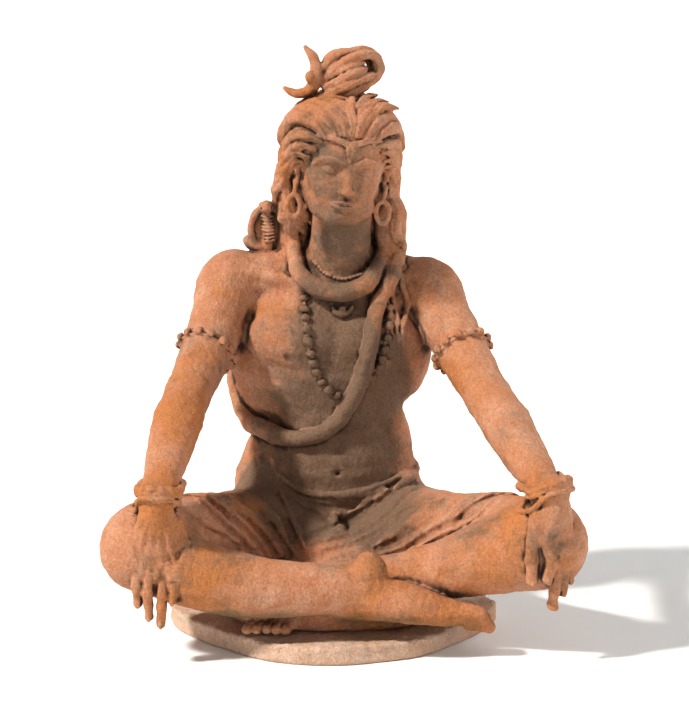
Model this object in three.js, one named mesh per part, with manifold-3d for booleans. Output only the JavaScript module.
// A seated Shiva in fired clay: cross-legged, hands hanging over the knees, a cobra coiled round the neck
// and across the chest, long locks with a topknot and a crescent, resting on a low oval base.
// Millimetres, +Z up. The origin is under the middle of the whole width and depth, at the base's underside,
// and the figure faces -Y.
import * as THREE from "three";
import { mergeVertices } from "three/addons/utils/BufferGeometryUtils.js";
import Module from "manifold-3d";

// The figure's free form keeps its pose as shares of its own height: every point and radius of the
// body below is in thousandths of figureHeight.
const figureHeight = 1000;
const share = figureHeight / 1000;

// The base, with sizes of its own.
const baseThickness = 36;
const baseEdgeRounding = 7;
const baseHalfWidth = 302;
const baseHalfDepth = 268;
const baseSetBack = -30;
const baseSetLeft = 28;

// The body's forms are written about a point under the spine: the origin is this far in front of it.
const originInFront = 46;
const seatGap = 0.3;

// What the figure wears, each with a size of its own.
const serpentRadius = 17;
const hoodHalfWidth = 33;
const beadRadius = 8;
const beadPitch = 19;
const smallBeadRadius = 5.5;
const smallBeadPitch = 13;
const armletRadius = 5.5;
const armletKnobs = 12;
const armletKnobRadius = 8;
const bangleRadius = 5;
const bangleCount = 3;
const bangleSpacing = 11;
const bangleSteps = 16;
const ringLift = 1.5;
const earringHalfHeight = 19;
const earringHalfWidth = 12;
const earringThickness = 5;
const hoopSteps = 10;
const crescentThickness = 10;
const lockRadius = 11;
const clothThickness = 7;
const foldRadius = 9;
const fingerRadius = 11;
const sashRadius = 10;

// The fineness of the carved surface: the sampling step, and the faces kept in the finished solid.
const cell = 8 * share;
const figureTriangles = 9500;
const basePoints = 40;

const terracotta = { color: 0xb0704c, roughness: 0.92, metalness: 0 };
const paleClay = { color: 0xc09a82, roughness: 0.95, metalness: 0 };

const V = (x, y, z) => new THREE.Vector3(x, y, z).multiplyScalar(share);

// Forms: a form is a distance, negative inside, with a box that holds it.

// Two distances joined with a fillet as wide as k.
function join(a, b, k) {
  const h = Math.max(k - Math.abs(a - b), 0);
  return Math.min(a, b) - (h * h) / (4 * k);
}

// An ellipsoid of the given half axes, turned by degrees about X, Y and Z.
function mass(centre, half, turn = [0, 0, 0]) {
  const c = V(...centre);
  const r = V(...half);
  const angles = turn.map((d) => THREE.MathUtils.degToRad(d));
  const back = new THREE.Matrix4().makeRotationFromEuler(new THREE.Euler(...angles)).invert();
  const q = new THREE.Vector3();
  const widest = Math.max(r.x, r.y, r.z);
  return {
    box: new THREE.Box3(c.clone().subScalar(widest), c.clone().addScalar(widest)),
    at(p) {
      q.copy(p).sub(c).applyMatrix4(back);
      const outer = Math.hypot(q.x / r.x, q.y / r.y, q.z / r.z);
      const slope = Math.hypot(q.x / r.x ** 2, q.y / r.y ** 2, q.z / r.z ** 2);
      return slope < 1e-9 ? -Math.min(r.x, r.y, r.z) : (outer * (outer - 1)) / slope;
    },
  };
}

// A round limb through stations of [x, y, z, radius], with a smooth line between them.
function limb(stations, steps = 4) {
  const spots = stations.map(([x, y, z]) => V(x, y, z));
  const line = new THREE.CatmullRomCurve3(spots, false, "centripetal");
  const count = (stations.length - 1) * steps;
  const points = [];
  const radii = [];
  for (let i = 0; i <= count; i++) {
    const t = (i / count) * (stations.length - 1);
    const low = Math.min(Math.floor(t), stations.length - 2);
    points.push(line.getPoint(i / count));
    radii.push(THREE.MathUtils.lerp(stations[low][3], stations[low + 1][3], t - low) * share);
  }
  return tube(points, radii);
}

// A tube along ready-made points, measured run by run so that far runs are passed over.
const runSteps = 5;

function tube(points, radii) {
  const steps = points.slice(1).map((p, i) => {
    const d = p.clone().sub(points[i]);
    return { x: d.x, y: d.y, z: d.z, long: Math.max(d.lengthSq(), 1e-9) };
  });
  const runs = [];
  for (let from = 0; from < steps.length; from += runSteps) {
    const to = Math.min(from + runSteps, steps.length);
    const box = new THREE.Box3().setFromPoints(points.slice(from, to + 1));
    runs.push({ from, to, box: box.expandByScalar(Math.max(...radii.slice(from, to + 1))) });
  }
  return {
    box: runs.reduce((all, run) => all.union(run.box), new THREE.Box3()),
    at(p) {
      let best = Infinity;
      for (const run of runs) {
        if (run.box.distanceToPoint(p) < best) best = Math.min(best, gapTo(p, run));
      }
      return best;
    },
  };

  function gapTo(p, { from, to }) {
    let best = Infinity;
    for (let i = from; i < to; i++) {
      const a = points[i];
      const s = steps[i];
      const x = p.x - a.x;
      const y = p.y - a.y;
      const z = p.z - a.z;
      const t = Math.min(1, Math.max(0, (x * s.x + y * s.y + z * s.z) / s.long));
      const gap = Math.hypot(x - t * s.x, y - t * s.y, z - t * s.z);
      best = Math.min(best, gap - radii[i] - t * (radii[i + 1] - radii[i]));
    }
    return best;
  }
}

// A form seen through a rigid placement, so that a head or a hand is built in its own frame.
function placed(form, matrix) {
  const back = matrix.clone().invert();
  const q = new THREE.Vector3();
  return {
    box: form.box.clone().applyMatrix4(matrix),
    at: (p) => form.at(q.copy(p).applyMatrix4(back)),
  };
}

// Several forms joined with fillets: each entry is a form with its fillet, or one that is cut away.
function body(entries) {
  const list = entries.map(([form, fillet, cut]) => ({ form, k: fillet * share, cut }));
  const box = new THREE.Box3();
  for (const { form, cut } of list) if (!cut) box.union(form.box);
  return {
    box,
    at(p) {
      let d = 1e6;
      for (const { form, k, cut } of list) {
        const nearest = form.box.distanceToPoint(p);
        if (cut) {
          if (nearest < k - d) d = -join(-d, form.at(p), k);
        } else if (nearest < d + k) d = join(d, form.at(p), k);
      }
      return d;
    },
  };
}

// Brings a point to the given height over a form's surface.
function seat(form, point, height) {
  const p = point.clone();
  const e = 0.5;
  const probe = new THREE.Vector3();
  for (let round = 0; round < 6; round++) {
    const here = form.at(p);
    const slope = new THREE.Vector3(
      form.at(probe.set(p.x + e, p.y, p.z)) - here,
      form.at(probe.set(p.x, p.y + e, p.z)) - here,
      form.at(probe.set(p.x, p.y, p.z + e)) - here,
    ).normalize();
    p.addScaledVector(slope, height - here);
  }
  return p;
}

// A tube laid over a form: its line is seated at a share of its own radius above the surface.
function laid(form, stations, lift = 0.4, steps = 5) {
  const spots = stations.map(([x, y, z]) => V(x, y, z));
  const line = new THREE.CatmullRomCurve3(spots, false, "centripetal");
  const count = (stations.length - 1) * steps;
  const points = [];
  const radii = [];
  for (let i = 0; i <= count; i++) {
    const t = (i / count) * (stations.length - 1);
    const low = Math.min(Math.floor(t), stations.length - 2);
    const radius = THREE.MathUtils.lerp(stations[low][3], stations[low + 1][3], t - low) * share;
    points.push(seat(form, line.getPoint(i / count), radius * lift));
    radii.push(radius);
  }
  return tube(points, radii);
}

// The body.

function torso() {
  return [
    [mass([-24, 122, 92], [148, 118, 100]), 30],
    [mass([-18, 100, 205], [126, 92, 105]), 40],
    [mass([-18, 92, 300], [118, 82, 110]), 40],
    [mass([-20, 88, 420], [148, 96, 122]), 40],
    [mass([-22, 92, 512], [168, 84, 88]), 40],
    [mass([-152, 104, 408], [54, 60, 110], [0, -15, 0]), 26],
    [limb([[-204, 92, 570, 50], [-122, 100, 596, 40], [-12, 106, 610, 48], [90, 100, 590, 38],
      [160, 92, 556, 46]]), 30],
    [mass([126, 100, 436], [34, 56, 74], [0, 10, 0]), 26],
    [mass([-98, 24, 474], [84, 36, 56], [0, 0, -14]), 22],
    [mass([60, 24, 470], [82, 36, 56], [0, 0, 14]), 22],
    [mass([-12, 26, 246], [88, 40, 84]), 30],
    [limb([[-10, 88, 590, 62], [-8, 66, 650, 55], [-4, 48, 708, 54]]), 24],
    [limb([[-24, 22, 566, 7], [-95, 30, 582, 8], [-165, 52, 596, 8]]), 14],
    [limb([[4, 22, 566, 7], [64, 30, 580, 8], [124, 52, 590, 8]]), 14],
  ];
}

function arms() {
  return [
    [mass([-217, 86, 562], [51, 60, 72], [0, 14, 0]), 26],
    [limb([[-222, 82, 560, 48], [-236, 34, 492, 50], [-260, -30, 432, 45], [-277, -86, 394, 39]]), 18],
    [limb([[-277, -86, 394, 39], [-290, -152, 358, 44], [-301, -216, 314, 38], [-309, -268, 278, 30],
      [-310, -292, 256, 31]]), 14],
    [mass([164, 86, 550], [50, 58, 68], [0, -14, 0]), 26],
    [limb([[166, 82, 552, 46], [195, 34, 490, 49], [229, -30, 430, 45], [254, -86, 390, 39]]), 18],
    [limb([[254, -86, 390, 39], [281, -150, 354, 44], [308, -214, 312, 38], [333, -264, 276, 30],
      [343, -288, 256, 31]]), 14],
  ];
}

// A thigh to its knee.
const thighs = [
  [[-95, 70, 105, 96], [-210, -60, 122, 82], [-294, -164, 146, 78], [-341, -236, 156, 75]],
  [[75, 70, 105, 96], [194, -60, 120, 82], [288, -162, 148, 79], [338, -232, 163, 77]],
];

function legs() {
  const toes = [0, 1, 2, 3, 4];
  return [
    [limb(thighs[0]), 22],
    [limb([[-341, -240, 156, 73], [-264, -258, 119, 60], [-170, -262, 95, 54], [-70, -256, 87, 46],
      [30, -248, 90, 37]]), 12],
    [limb([[-2, -244, 66, 34], [60, -250, 68, 38], [110, -256, 62, 35], [160, -256, 50, 27],
      [206, -252, 42, 19], [238, -248, 34, 13]]), 12],
    [mass([42, -252, 118], [30, 20, 34]), 14],
    [limb(thighs[1]), 22],
    [limb([[336, -234, 160, 75], [250, -220, 134, 64], [178, -200, 108, 52], [92, -176, 84, 44],
      [0, -152, 76, 34]]), 12],
    [limb([[-30, -150, 68, 32], [-70, -172, 48, 28], [-122, -200, 30, 22], [-150, -218, 22, 15]]), 12],
    ...toes.map((t) => [limb([[206 + 3 * t, -264 + 9 * t, 38, 10],
      [246 - 4 * t, -264 + 9 * t, 28, 9]], 1), 5]),
    ...toes.map((t) => [limb([[-142 + 4 * t, -214 + 7 * t, 18, 10],
      [-172 + 8 * t, -232 + 7 * t, 10, 10]], 1), 5]),
  ];
}

// The same thing made for the right side, -1, and for the left side, 1.
const pairs = (make) => [-1, 1].map(make);

// A hand hanging from the wrist. Its own frame has the fingers down, the back of the hand along -Y and the
// thumb along +X, so the left hand is its mirror image. Each finger is knuckle, middle joint and tip.
const rightFingers = [
  [[-31, -2, -100], [-35, -8, -140], [-34, -4, -172]],
  [[-11, -6, -106], [-16, -12, -152], [-15, -8, -194]],
  [[10, -6, -106], [8, -12, -158], [5, -8, -208]],
  [[30, -3, -100], [30, -12, -138], [14, -12, -170]],
  [[32, 6, -34], [46, 12, -84], [42, 14, -126], [34, 14, -158]],
];
const leftFingers = [
  [[-30, 2, -78], [-33, -2, -112], [-30, 4, -146]],
  [[-11, -4, -84], [-14, -10, -126], [-10, -2, -168]],
  [[9, -5, -84], [8, -12, -134], [2, -8, -184]],
  [[28, -3, -78], [22, -16, -114], [38, -12, -134]],
  [[28, 8, -26], [42, 8, -70], [44, 4, -104], [42, 2, -132]],
];

function hand(fingers, at, turn, mirrored) {
  const palm = fingers[1][0][2];
  const parts = [
    [limb([[0, 0, 10, 29], [-2, -2, palm * 0.34, 31], [-1, -3, palm * 0.7, 30]]), 6],
    [mass([0, -2, palm * 0.74], [43, 19, Math.abs(palm) * 0.42]), 14],
    ...fingers.map((points, n) => [
      limb(points.map(([x, y, z], i) => [x, y, z, fingerRadius * (n === 4 ? 1.1 : 1) - 0.9 * i])),
        n === 4 ? 10 : 4]),
  ];
  const angles = turn.map((d) => THREE.MathUtils.degToRad(d));
  const matrix = new THREE.Matrix4()
    .makeRotationFromEuler(new THREE.Euler(...angles))
    .setPosition(V(...at));
  if (mirrored) matrix.multiply(new THREE.Matrix4().makeScale(-1, 1, 1));
  return placed(body(parts), matrix);
}

// The head, in a frame of its own: the origin is midway between the ears, and the face looks along -Y.
const headAt = [-3, 18, 794];
const headTurn = [8, 5, 8].map((d) => THREE.MathUtils.degToRad(d));
const headMatrix = new THREE.Matrix4()
  .makeRotationFromEuler(new THREE.Euler(...headTurn, "ZYX"))
  .setPosition(V(...headAt));

function head() {
  return placed(body([
    [mass([0, 14, 24], [76, 92, 80]), 1],
    [mass([0, -14, -24], [62, 66, 78]), 24],
    [mass([0, -58, -88], [23, 20, 18]), 18],
    ...pairs((s) => [mass([s * 36, -50, -26], [25, 20, 26]), 16]),
    ...pairs((s) => [limb([[0, -74, 20, 9], [s * 26, -70, 27, 9], [s * 54, -48, 18, 9]]), 12]),
    ...pairs((s) => [mass([s * 30, -80, 2], [19, 13, 12]), 10, true]),
    ...pairs((s) => [mass([s * 30, -62, 0], [14, 12, 11]), 4]),
    [limb([[0, -74, 14, 8], [0, -88, -14, 8.5], [0, -98, -32, 10]]), 8],
    ...pairs((s) => [mass([s * 11, -86, -34], [9, 10, 8]), 5]),
    [limb([[-21, -72, -56, 4], [0, -82, -54, 6], [21, -72, -56, 4]]), 5],
    [limb([[-17, -72, -65, 5], [0, -80, -66, 7], [17, -72, -65, 5]]), 5],
    ...pairs((s) => [mass([s * 76, 8, -8], [8, 17, 30], [0, 0, s * 12]), 6]),
  ]), headMatrix);
}

// The hair, swept back from a middle parting over a full crown, and falling behind the shoulders.
const crownLocks = 5;
const templeLocks = 5;
const fallLocks = 5;
const backLocks = 5;

function hairMass() {
  return body([
    [placed(body([
      [mass([-4, 26, 36], [88, 102, 80]), 1],
      ...pairs((s) => [mass([s * 50 - 4, 18, 44], [44, 62, 50]), 20]),
      [mass([-4, 60, -30], [84, 54, 96]), 24],
      ...pairs((s) => [limb([[s * 70 - 4, 22, 26, 27], [s * 76 - 4, 30, -40, 24],
        [s * 79 - 4, 44, -110, 24]]), 16]),
      [mass([0, -110, -40], [125, 115, 96]), 8, true],
      [limb([[-64, -50, 46, 12], [-34, -66, 66, 16], [0, -72, 72, 14], [34, -66, 66, 16],
        [64, -50, 46, 12]]), 14],
    ]), headMatrix), 1],
    [limb([[0, 116, 700, 62], [-4, 140, 640, 66], [-8, 152, 560, 58], [-10, 162, 470, 40],
      [-10, 166, 420, 22]]), 20],
    [limb([[86, 64, 700, 23], [90, 72, 650, 24], [100, 62, 612, 22]]), 14],
    [limb([[-92, 84, 700, 22], [-104, 96, 650, 24], [-112, 106, 612, 20]]), 14],
  ]);
}

function locks(hair) {
  const inHead = ([x, y, z, r]) => {
    const q = V(x, y, z).applyMatrix4(headMatrix).divideScalar(share);
    return [q.x, q.y, q.z, r];
  };
  const each = (count, make) => Array.from({ length: count }, (_, i) => make(i, i / (count - 1)));
  const r = lockRadius;
  const ofSide = (s) => [
    ...each(crownLocks, (i, f) => [
      [s * (6 + 6 * i), 6 + 4 * i, 118, r * 0.8],
      [s * (14 + 15 * i), -44 + 18 * i, 104 - 3 * i, r * 1.1],
      [s * (40 + 13 * i), -56 + 22 * i, 80 + 2 * i, r * 1.2],
      [s * (74 + 7 * i), -34 + 22 * i, 54 + 4 * i, r * 1.1],
      [s * 100, 4 + 20 * i, 30 - 20 * f, r * 0.8],
    ].map(inHead)),
    ...each(templeLocks, (i, f) => [
      [s * (46 + 7 * i), -70 + 17 * i, 48 - 17 * i, r * 0.6],
      [s * (74 + 4 * i), -42 + 12 * i, 42 - 19 * i, r],
      [s * (96 + i), -6 + 6 * i, 26 - 22 * i, r * 1.1],
      [s * 96, 36, 2 - 30 * i, r * 0.8 - 2 * f],
    ].map(inHead)),
    ...each(fallLocks, (i, f) => [
      [s * (94 - 8 * f) - 4, 14 + 60 * f, 760, r * 0.9], [s * (95 - 10 * f) - 4, 28 + 60 * f, 700, r],
      [s * (96 - 18 * f) - 4, 46 + 70 * f, 640, r], [s * (96 - 50 * f) - 4, 80 + 70 * f, 580, r * 0.7],
    ]),
    ...each(backLocks, (i, f) => [
      [s * 84 * f - 4, 140, 760, r], [s * 84 * f - 6, 190, 660, r], [s * 76 * f - 8, 214, 560, r],
      [s * 54 * f - 10, 214, 470, r * 0.8], [s * 36 * f - 10, 200, 420 - 12 * (i % 2), r * 0.4],
    ]),
  ];
  return pairs(ofSide).flat().map((stations) => [laid(hair, stations), 4]);
}

// The locks that fall forward over the left shoulder.
function frontLocks(under) {
  return [0, 1, 2, 3].map((i) => [laid(under, [
    [96 + 3 * i, 40, 640, 9],
    [92 + 7 * i, 14, 596, 9],
    [86 + 13 * i, 0, 552, 8],
    [90 + 12 * i, -6, 512 - 14 * (i % 2), 6],
    [96 + 10 * i, -8, 482 - 16 * (i % 2), 3],
  ]), 4]);
}

// The topknot: a folded skein of thick strands that loops over at the left, on a short tied neck.
const topknotStrands = [
  [[-34, 34, 926, 10], [-34, 14, 940, 11], [-6, 2, 964, 11], [26, 6, 982, 11], [50, 14, 972, 11],
    [50, 18, 950, 9]],
  [[-36, 36, 946, 11], [-34, 20, 966, 12], [-4, 14, 982, 12], [30, 18, 990, 11], [50, 30, 974, 10],
    [48, 34, 952, 10]],
  [[-36, 44, 956, 11], [-26, 40, 978, 11], [10, 40, 988, 11], [38, 44, 984, 11], [50, 46, 962, 11],
    [40, 46, 940, 10]],
  [[-30, 24, 930, 11], [-8, 4, 938, 11], [20, 2, 956, 10], [40, 6, 964, 8]],
  [[-22, 22, 924, 11], [6, 8, 932, 11], [34, 14, 944, 11], [48, 26, 948, 9]],
];

function topknot() {
  return [
    [limb([[-8, 38, 892, 34], [-10, 36, 916, 27], [-8, 34, 936, 22]]), 8],
    [mass([4, 32, 952], [40, 20, 24], [0, -24, 0]), 6],
    ...topknotStrands.map((stations) => [limb(stations), 4]),
  ];
}

// The crescent stands against the topknot with its horns outward, and a small boss at its middle.
function crescent() {
  const stations = [
    [-70, 25, 1001, 5], [-58, 21, 986, 8], [-50, 18, 968, 10], [-50, 16, 950, 11], [-56, 16, 933, 11],
    [-68, 16, 923, 10], [-86, 18, 919, 8], [-106, 22, 929, 5],
  ].map(([x, y, z, r]) => [x, y, z, (r * crescentThickness) / 10]);
  return [
    [limb(stations), 4],
    [mass([-61, 6, 948], [9, 9, 11]), 4],
    [limb([[-48, 20, 948, 11], [-30, 28, 944, 14]]), 6],
  ];
}

// The cloth: wrapped thighs cut off at the hem, a lap between them, a roll at the waist, and folds.
function trimmed(form, point, normal) {
  const n = new THREE.Vector3(...normal).normalize();
  const level = n.dot(V(...point));
  return { ...form, at: (p) => Math.max(form.at(p), n.dot(p) - level) };
}

function cloth() {
  const wrap = (stations, hem, normal) => {
    const wider = stations.map(([x, y, z, r]) => [x, y, z, r + clothThickness / share]);
    return trimmed(limb(wider), hem, normal);
  };
  return [
    [wrap(thighs[0], [-295, -110, 215], [-0.41, -0.91, 0]), 3],
    [wrap(thighs[1], [292, -130, 215], [0.3, -0.95, 0]), 3],
    [mass([-22, 96, 175], [158, 106, 82]), 10],
    [limb([[-60, -30, 92, 66], [10, -60, 84, 56], [70, -30, 92, 66]]), 24],
    [mass([-20, -120, 34], [210, 118, 58]), 20],
    [mass([-140, 84, 222], [60, 70, 62]), 16],
    [mass([106, 84, 212], [36, 66, 46]), 16],
  ];
}

function folds(under) {
  const fold = (stations, r) => laid(under, stations.map(([x, y, z], i) => {
    const along = i / (stations.length - 1);
    return [x, y, z, r * (0.45 + 0.55 * Math.sin(Math.PI * Math.min(1, along + 0.25)))];
  }), 0.2);
  const made = [];
  for (let i = 0; i < 5; i++) {
    const f = i / 4;
    made.push(fold([
      [-262 + 128 * f, -118 + 118 * f, 232],
      [-205 + 90 * f, -120 + 66 * f, 200 - 8 * f],
      [-138 + 62 * f, -150 + 56 * f, 150 - 10 * f],
      [-84 + 26 * f, -158 + 34 * f, 102],
    ], foldRadius));
    made.push(fold([
      [268 - 132 * f, -118 + 112 * f, 236],
      [206 - 90 * f, -122 + 70 * f, 204 - 8 * f],
      [138 - 56 * f, -146 + 58 * f, 152 - 8 * f],
      [86 - 22 * f, -158 + 36 * f, 104],
    ], foldRadius));
  }
  for (let i = 0; i < 3; i++) {
    made.push(fold([
      [-128 + 6 * i, 6 - 8 * i, 226 - 18 * i],
      [-70, -34 - 16 * i, 178 - 24 * i],
      [-16, -52 - 22 * i, 152 - 26 * i],
      [44, -34 - 16 * i, 172 - 22 * i],
      [104 - 4 * i, 6 - 8 * i, 222 - 18 * i],
    ], foldRadius * 1.1));
  }
  const waist = laid(under, [
    [-160, 110, 236, sashRadius], [-140, 40, 232, sashRadius], [-80, -4, 208, sashRadius],
    [-10, -24, 196, sashRadius], [60, -8, 206, sashRadius], [112, 36, 230, sashRadius],
    [132, 110, 238, sashRadius],
  ], 0.3);
  const back = laid(under, [
    [-160, 110, 236, sashRadius], [-110, 180, 238, sashRadius], [-15, 206, 240, sashRadius],
    [84, 180, 240, sashRadius], [132, 110, 238, sashRadius],
  ], 0.3);
  const end = laid(under, [[52, -12, 204, 9], [26, -30, 186, 9], [4, -44, 172, 7]], 0.7);
  return [...made, waist, back, end].map((form) => [form, 6]);
}

// The cobra, from its tail behind the waist to the hood over the right shoulder.
function serpent(under) {
  const r = serpentRadius / share;
  const line = laid(under, [
    [-40, 190, 290, r * 0.4], [-130, 150, 296, r * 0.9], [-160, 90, 310, r * 1.6],
    [-140, 40, 306, r * 1.3], [-96, -4, 300, r], [-44, -22, 312, r * 0.92], [0, -20, 346, r * 0.95],
    [30, -14, 404, r], [44, -10, 470, r], [58, 4, 536, r], [82, 34, 586, r], [88, 96, 618, r],
    [10, 150, 626, r], [-72, 120, 626, r], [-94, 70, 622, r], [-82, 30, 584, r],
    [-46, 8, 556, r * 1.06], [-6, 0, 550, r * 1.1], [36, 14, 564, r * 1.06], [58, 44, 596, r],
    [72, 96, 636, r], [30, 150, 656, r], [-60, 150, 656, r], [-112, 130, 646, r],
  ], 0.55, 4);
  const hood = hoodHalfWidth / share;
  return [
    [line, 3],
    [limb([[-118, 130, 630, r], [-142, 112, 646, r], [-142, 96, 684, r * 0.9]]), 6],
    [mass([-140, 92, 680], [hood, 15, 45]), 5],
    [mass([-160, 108, 644], [24, 24, 16], [0, 30, 0]), 8],
    [limb([[-158, 84, 676, 8], [-150, 84, 700, 8], [-141, 84, 706, 9], [-130, 84, 700, 8],
      [-122, 84, 676, 8]]), 5],
    [mass([-141, 74, 712], [14, 22, 10], [12, 0, 0]), 5],
  ];
}

// Beads laid along a line, touching the surface below them.
function beads(under, stations, radius, pitch) {
  const line = new THREE.CatmullRomCurve3(stations.map(([x, y, z]) => V(x, y, z)), false, "centripetal");
  const count = Math.floor(line.getLength() / pitch);
  const made = [];
  for (let i = 0; i <= count; i++) {
    const at = seat(under, line.getPointAt(Math.min(1, (i * pitch) / line.getLength())), radius * 0.5);
    const r = radius / share;
    made.push([mass(at.divideScalar(share).toArray(), [r, r, r]), 1.5]);
  }
  return made;
}

function necklaces(under) {
  const rightStrand = [[-76, 30, 590], [-74, 10, 556], [-68, -6, 500], [-56, -14, 440], [-38, -18, 396],
    [-8, -20, 374]];
  const leftStrand = [[84, 20, 560], [80, 6, 520], [72, -8, 470], [58, -14, 420], [30, -18, 388],
    [10, -20, 376]];
  const throat = [[-58, 26, 600], [-34, 14, 584], [0, 10, 580], [34, 20, 590]];
  return [
    ...beads(under, rightStrand, beadRadius, beadPitch),
    ...beads(under, leftStrand, beadRadius, beadPitch),
    ...beads(under, throat, smallBeadRadius, smallBeadPitch),
    [mass(seat(under, V(-6, -10, 542), 6).divideScalar(share).toArray(), [17, 9, 10]), 2],
  ];
}

// Points round an arm on its surface, square to the axis, each with its direction outwards.
function ringRound(under, centre, axis, count) {
  const n = new THREE.Vector3(...axis).normalize();
  const side = new THREE.Vector3(1, 0, 0).cross(n).normalize();
  const up = n.clone().cross(side);
  return Array.from({ length: count + 1 }, (_, i) => {
    const angle = (2 * Math.PI * i) / count;
    const out = side.clone().multiplyScalar(Math.cos(angle)).addScaledVector(up, Math.sin(angle));
    const near = centre.clone().addScaledVector(out, 60 * share);
    return { at: seat(under, near, ringLift), out };
  });
}

// An armlet: a plain ring with a row of knobs on it.
function armlet(under, centre, axis) {
  const ring = ringRound(under, V(...centre), axis, 2 * armletKnobs);
  const knobs = ring.filter((_, i) => i % 2).map(({ at, out }) => {
    const spot = at.clone().addScaledVector(out, armletRadius * 0.8).divideScalar(share);
    const r = armletKnobRadius / share;
    return [mass(spot.toArray(), [r, r, r]), 2];
  });
  return body([[tube(ring.map(({ at }) => at), ring.map(() => armletRadius)), 3], ...knobs]);
}

// Plain bangles side by side round a wrist.
function bangles(under, wrist, axis) {
  const n = new THREE.Vector3(...axis).normalize();
  return body(Array.from({ length: bangleCount }, (_, i) => {
    const centre = V(...wrist).addScaledVector(n, (i - (bangleCount - 1) / 2) * bangleSpacing);
    const ring = ringRound(under, centre, axis, bangleSteps);
    return [tube(ring.map(({ at }) => at), ring.map(() => bangleRadius)), 3];
  }));
}

// Upright oval hoops that hang from the lobes.
function earrings() {
  return pairs((s) => {
    const middle = V(s * 80 - 3, -6, -76).applyMatrix4(headMatrix).add(V(0, -14, 0));
    const ring = Array.from({ length: hoopSteps + 1 }, (_, i) => {
      const angle = (2 * Math.PI * i) / hoopSteps;
      return new THREE.Vector3(
        earringHalfWidth * Math.cos(angle), 0, earringHalfHeight * Math.sin(angle),
      ).add(middle);
    });
    return [tube(ring, ring.map(() => earringThickness)), 2];
  });
}

// A bare band across the brow with a small drop at the middle.
function browBand(under) {
  const inHead = (x, y, z, r) => [...V(x, y, z).applyMatrix4(headMatrix).divideScalar(share).toArray(), r];
  const band = [[-62, -52, 44], [-34, -76, 54], [0, -84, 54], [34, -76, 54], [62, -52, 44]];
  const drop = [[0, -84, 54], [0, -84, 42], [0, -84, 32]];
  return [
    [laid(under, band.map((p) => inHead(...p, 4))), 2],
    [laid(under, drop.map((p, i) => inHead(...p, 6 - i))), 2],
  ];
}

function figure() {
  const lower = body([...torso(), ...legs(), ...cloth()]);
  const skin = body([[lower, 10], ...arms(), [head(), 14]]);
  const withHair = body([[skin, 1], [hairMass(), 6]]);
  return body([
    [withHair, 1],
    [body(folds(lower)), 6],
    [hand(rightFingers, [-315, -300, 246], [2, 0, 0], false), 5],
    [hand(leftFingers, [350, -298, 252], [2, 0, 30], true), 5],
    [armlet(skin, [-250, 2, 458], [-0.28, -0.7, -0.6]), 3],
    [armlet(skin, [213, 2, 458], [0.32, -0.7, -0.6]), 3],
    [bangles(skin, [-309, -276, 272], [-0.1, -0.7, -0.6]), 3],
    [bangles(skin, [339, -272, 272], [0.2, -0.7, -0.6]), 3],
    [body(locks(hairMass())), 4],
    [body(frontLocks(withHair)), 4],
    [body([...topknot(), ...crescent()]), 4],
    ...earrings(),
    [body(browBand(skin)), 2],
    [body(serpent(skin)), 3],
    [body(necklaces(skin)), 2],
  ]);
}

// Fine tetrahedra: each cube of the grid is six of them round its long diagonal.
const tetrahedra = [[0, 1, 3, 7], [0, 3, 2, 7], [0, 2, 6, 7], [0, 6, 4, 7], [0, 4, 5, 7], [0, 5, 1, 7]];
const blockSteps = 6;

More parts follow.
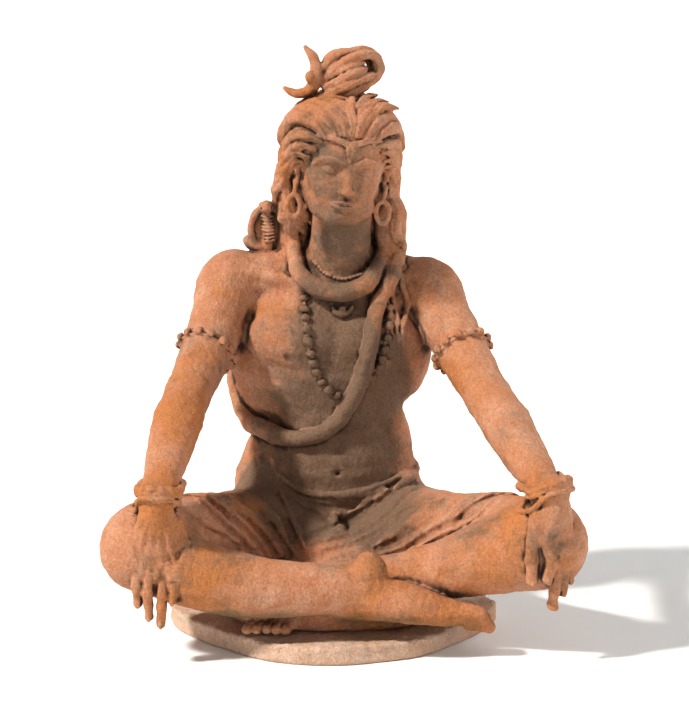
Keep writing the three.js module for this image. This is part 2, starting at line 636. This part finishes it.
// The surface of a form, as points and triangles. Blocks that the surface can't reach are passed over.
function surfaceOf(form, box, step) {
  const low = box.min.clone().addScalar(-2 * step);
  const size = box.getSize(new THREE.Vector3()).addScalar(4 * step);
  const blocks = [size.x, size.y, size.z].map((s) => Math.ceil(s / step / blockSteps));
  const [nx, ny, nz] = blocks.map((b) => b * blockSteps + 1);
  const value = new Float32Array(nx * ny * nz).fill(NaN);
  const p = new THREE.Vector3();
  const onGrid = (n) => [n % nx, Math.floor(n / nx) % ny, Math.floor(n / (nx * ny))];
  const valueAt = (i, j, k) => {
    const n = i + nx * (j + ny * k);
    if (Number.isNaN(value[n])) {
      value[n] = form.at(p.set(low.x + i * step, low.y + j * step, low.z + k * step)) || 1e-6;
    }
    return value[n];
  };

  const points = [];
  const known = new Map();
  const crossing = (a, b) => {
    const [from, to] = a < b ? [a, b] : [b, a];
    const key = from * 8388608 + (to - from);
    if (!known.has(key)) {
      const t = THREE.MathUtils.clamp(value[from] / (value[from] - value[to]), 0.03, 0.97);
      const s = onGrid(from);
      const e = onGrid(to);
      points.push(s.map((v, axis) => low.getComponent(axis) + step * (v + t * (e[axis] - v))));
      known.set(key, points.length - 1);
    }
    return known.get(key);
  };

  const faces = [];
  const corner = new Array(8);
  const cube = (i, j, k) => {
    let inside = 0;
    for (let c = 0; c < 8; c++) {
      const [x, y, z] = [i + (c & 1), j + ((c >> 1) & 1), k + (c >> 2)];
      if (valueAt(x, y, z) < 0) inside++;
      corner[c] = x + nx * (y + ny * z);
    }
    if (inside === 0 || inside === 8) return;
    for (const tetra of tetrahedra) {
      const n = tetra.map((c) => corner[c]);
      const wet = n.filter((c) => value[c] < 0);
      const dry = n.filter((c) => value[c] >= 0);
      if (wet.length && dry.length) addFaces(faces, n, wet, dry, crossing);
    }
  };

  const halfBlock = (blockSteps * step) / 2;
  const far = 1.5 * halfBlock * Math.sqrt(3);
  for (let bk = 0; bk < blocks[2]; bk++)
    for (let bj = 0; bj < blocks[1]; bj++)
      for (let bi = 0; bi < blocks[0]; bi++) {
        const [i0, j0, k0] = [bi, bj, bk].map((b) => b * blockSteps);
        p.set(i0, j0, k0).multiplyScalar(step).add(low).addScalar(halfBlock);
        if (Math.abs(form.at(p)) > far) continue;
        for (let k = k0; k < k0 + blockSteps; k++)
          for (let j = j0; j < j0 + blockSteps; j++)
            for (let i = i0; i < i0 + blockSteps; i++) cube(i, j, k);
      }
  return { points, faces };
}

// The one or two triangles where the surface passes through a tetrahedron, wound to face the dry side.
function addFaces(faces, n, wet, dry, crossing) {
  const order = [...wet, ...dry].map((c) => n.indexOf(c));
  let swaps = 0;
  for (let a = 0; a < 4; a++) for (let b = a + 1; b < 4; b++) if (order[a] > order[b]) swaps++;
  const add = (a, b, c) => faces.push(swaps % 2 ? [a, c, b] : [a, b, c]);
  if (wet.length === 1) add(...dry.map((d) => crossing(wet[0], d)));
  else if (dry.length === 1) add(...wet.map((w) => crossing(w, dry[0])));
  else {
    const [a, b] = wet;
    const [c, d] = dry;
    add(crossing(a, c), crossing(a, d), crossing(b, d));
    add(crossing(a, c), crossing(b, d), crossing(b, c));
  }
}

// The largest connected piece of a surface, so that no pocket is sealed inside the solid.
function outermost({ points, faces }) {
  const owner = points.map((_, i) => i);
  const root = (i) => {
    while (owner[i] !== i) i = owner[i] = owner[owner[i]];
    return i;
  };
  for (const [a, b, c] of faces) {
    owner[root(b)] = root(a);
    owner[root(c)] = root(a);
  }
  const count = new Map();
  for (const [a] of faces) count.set(root(a), (count.get(root(a)) ?? 0) + 1);
  const largest = [...count].reduce((best, entry) => (entry[1] > best[1] ? entry : best))[0];
  return { points, faces: faces.filter(([a]) => root(a) === largest) };
}

// Thins a closed surface to the given number of triangles, by closing the edges whose loss moves the
// surface least, and never one whose loss would pinch it or fold it over.
function thinned({ points, faces }, target) {
  const spots = points.map((p) => new THREE.Vector3(...p));
  const corners = faces.map((f) => [...f]);
  const around = spots.map(() => new Set());
  corners.forEach((f, n) => f.forEach((v) => around[v].add(n)));
  const errors = spots.map(() => new Float64Array(10));
  const a = new THREE.Vector3();
  const b = new THREE.Vector3();
  const normalOf = ([i, j, k], moved = -1, to = null) => {
    const at = (v) => (v === moved ? to : spots[v]);
    a.subVectors(at(j), at(i));
    b.subVectors(at(k), at(i));
    return a.clone().cross(b);
  };
  for (const f of corners) {
    const n = normalOf(f);
    const area = n.length() / 2;
    n.normalize();
    const d = -n.dot(spots[f[0]]);
    const plane = [n.x, n.y, n.z, d];
    for (const v of f)
      for (let i = 0, m = 0; i < 4; i++)
        for (let j = i; j < 4; j++, m++) errors[v][m] += area * plane[i] * plane[j];
  }
  const loss = (e, p) =>
    e[0] * p.x * p.x + 2 * e[1] * p.x * p.y + 2 * e[2] * p.x * p.z + 2 * e[3] * p.x +
    e[4] * p.y * p.y + 2 * e[5] * p.y * p.z + 2 * e[6] * p.y +
    e[7] * p.z * p.z + 2 * e[8] * p.z + e[9];

  // The best place for the point that two points become, near their edge.
  const bestSpot = (u, v, e) => {
    const middle = spots[u].clone().lerp(spots[v], 0.5);
    const steady = 1e-3 * (e[0] + e[4] + e[7]) + 1e-12;
    const m = new THREE.Matrix3().set(
      e[0] + steady, e[1], e[2], e[1], e[4] + steady, e[5], e[2], e[5], e[7] + steady,
    );
    const right = new THREE.Vector3(
      steady * middle.x - e[3], steady * middle.y - e[6], steady * middle.z - e[8],
    );
    const best = right.applyMatrix3(m.invert());
    const long = spots[u].distanceTo(spots[v]);
    return Number.isFinite(best.x) && best.distanceTo(middle) < 2 * long ? best : middle;
  };

  const heap = [];
  const push = (item) => {
    let n = heap.push(item) - 1;
    while (n > 0) {
      const up = (n - 1) >> 1;
      if (heap[up].cost <= heap[n].cost) break;
      [heap[up], heap[n]] = [heap[n], heap[up]];
      n = up;
    }
  };
  const pop = () => {
    const top = heap[0];
    const last = heap.pop();
    if (heap.length) {
      heap[0] = last;
      for (let n = 0; ; ) {
        let low = n;
        for (const c of [2 * n + 1, 2 * n + 2]) {
          if (c < heap.length && heap[c].cost < heap[low].cost) low = c;
        }
        if (low === n) break;
        [heap[low], heap[n]] = [heap[n], heap[low]];
        n = low;
      }
    }
    return top;
  };
  const stamp = new Uint32Array(spots.length);
  const offer = (u, v) => {
    const e = errors[u].map((x, i) => x + errors[v][i]);
    const spot = bestSpot(u, v, e);
    const long = spots[u].distanceToSquared(spots[v]);
    push({ u, v, e, spot, cost: Math.max(loss(e, spot), 0) + 1e-3 * long * long,
      when: stamp[u] + stamp[v] });
  };
  const neighbours = (v) => {
    const found = new Set();
    for (const n of around[v]) for (const w of corners[n]) if (w !== v) found.add(w);
    return found;
  };
  spots.forEach((_, u) => neighbours(u).forEach((v) => u < v && offer(u, v)));

  let left = corners.length;
  while (left > target && heap.length) {
    const { u, v, e, spot, when } = pop();
    if (!around[u].size || !around[v].size || when !== stamp[u] + stamp[v]) continue;
    const shared = [...around[u]].filter((n) => around[v].has(n));
    const near = neighbours(v);
    const common = [...neighbours(u)].filter((w) => near.has(w));
    if (shared.length !== 2 || common.length !== 2) continue;
    const folds = [u, v].some((w) =>
      [...around[w]].some((n) => {
        if (shared.includes(n)) return false;
        const was = normalOf(corners[n]);
        const now = normalOf(corners[n], w, spot);
        return was.dot(now) < 0.2 * was.length() * now.length();
      }),
    );
    if (folds) continue;
    spots[u].copy(spot);
    errors[u] = e;
    for (const n of shared) for (const w of corners[n]) around[w].delete(n);
    for (const n of around[v]) {
      corners[n][corners[n].indexOf(v)] = u;
      around[u].add(n);
    }
    around[v].clear();
    left -= 2;
    stamp[u]++;
    stamp[v] += 1e6;
    for (const w of neighbours(u)) offer(u, w);
  }
  const kept = corners.filter((f, n) => around[f[0]].has(n));
  return { spots, kept };
}

// Manifold solids from shared-vertex geometry, and back again.
const wasm = await Module();
wasm.setup();

function solidOf(geometry) {
  const g = geometry.clone();
  g.deleteAttribute("normal");
  g.deleteAttribute("uv");
  const merged = mergeVertices(g, 1e-4);
  return new wasm.Manifold(new wasm.Mesh({
    numProp: 3,
    vertProperties: merged.attributes.position.array,
    triVerts: new Uint32Array(merged.index.array),
  }));
}

function geometryOf(solid) {
  const mesh = solid.getMesh();
  const geometry = new THREE.BufferGeometry();
  geometry.setAttribute("position", new THREE.BufferAttribute(mesh.vertProperties.slice(), 3));
  geometry.setIndex(new THREE.BufferAttribute(mesh.triVerts.slice(), 1));
  geometry.computeVertexNormals();
  return geometry;
}

// The figure, cut flat where it sits.
function figureGeometry() {
  const form = figure();
  const { spots, kept } = thinned(outermost(surfaceOf(form, form.box, cell)), figureTriangles);
  const geometry = new THREE.BufferGeometry().setFromPoints(spots);
  geometry.setIndex(kept.flat());
  const below = new THREE.BoxGeometry(4 * figureHeight, 4 * figureHeight, figureHeight);
  below.translate(0, 0, -figureHeight / 2);
  return geometryOf(solidOf(geometry).subtract(solidOf(below)));
}

// The base: a low irregular oval with a rounded edge.
function baseGeometry() {
  const dip = (angle, middle, width, depth) => depth * Math.exp(-(((angle - middle) / width) ** 2));
  const outline = new THREE.Shape(Array.from({ length: basePoints }, (_, i) => {
    const angle = (2 * Math.PI * i) / basePoints;
    const dips = dip(angle, 3.85, 0.5, 0.1) + dip(angle, 5.7, 0.35, 0.05);
    const wander = 1 + 0.02 * Math.sin(3 * angle + 0.6) - dips;
    return new THREE.Vector2(
      (baseHalfWidth - baseEdgeRounding) * wander * Math.cos(angle),
      (baseHalfDepth - baseEdgeRounding) * wander * Math.sin(angle),
    );
  }));
  const geometry = new THREE.ExtrudeGeometry(outline, {
    depth: baseThickness - 2 * baseEdgeRounding,
    bevelThickness: baseEdgeRounding,
    bevelSize: baseEdgeRounding,
    bevelSegments: 2,
    curveSegments: 1,
  });
  geometry.translate(-baseSetLeft, baseSetBack, baseEdgeRounding);
  return geometry;
}

const statue = new THREE.Group();
const base = new THREE.Mesh(baseGeometry(), new THREE.MeshStandardMaterial(paleClay));
base.name = "base";
const seated = new THREE.Mesh(figureGeometry(), new THREE.MeshStandardMaterial(terracotta));
seated.name = "figure";
base.position.y = originInFront;
seated.position.set(0, originInFront, baseThickness + seatGap);
statue.add(base, seated);

export default statue;
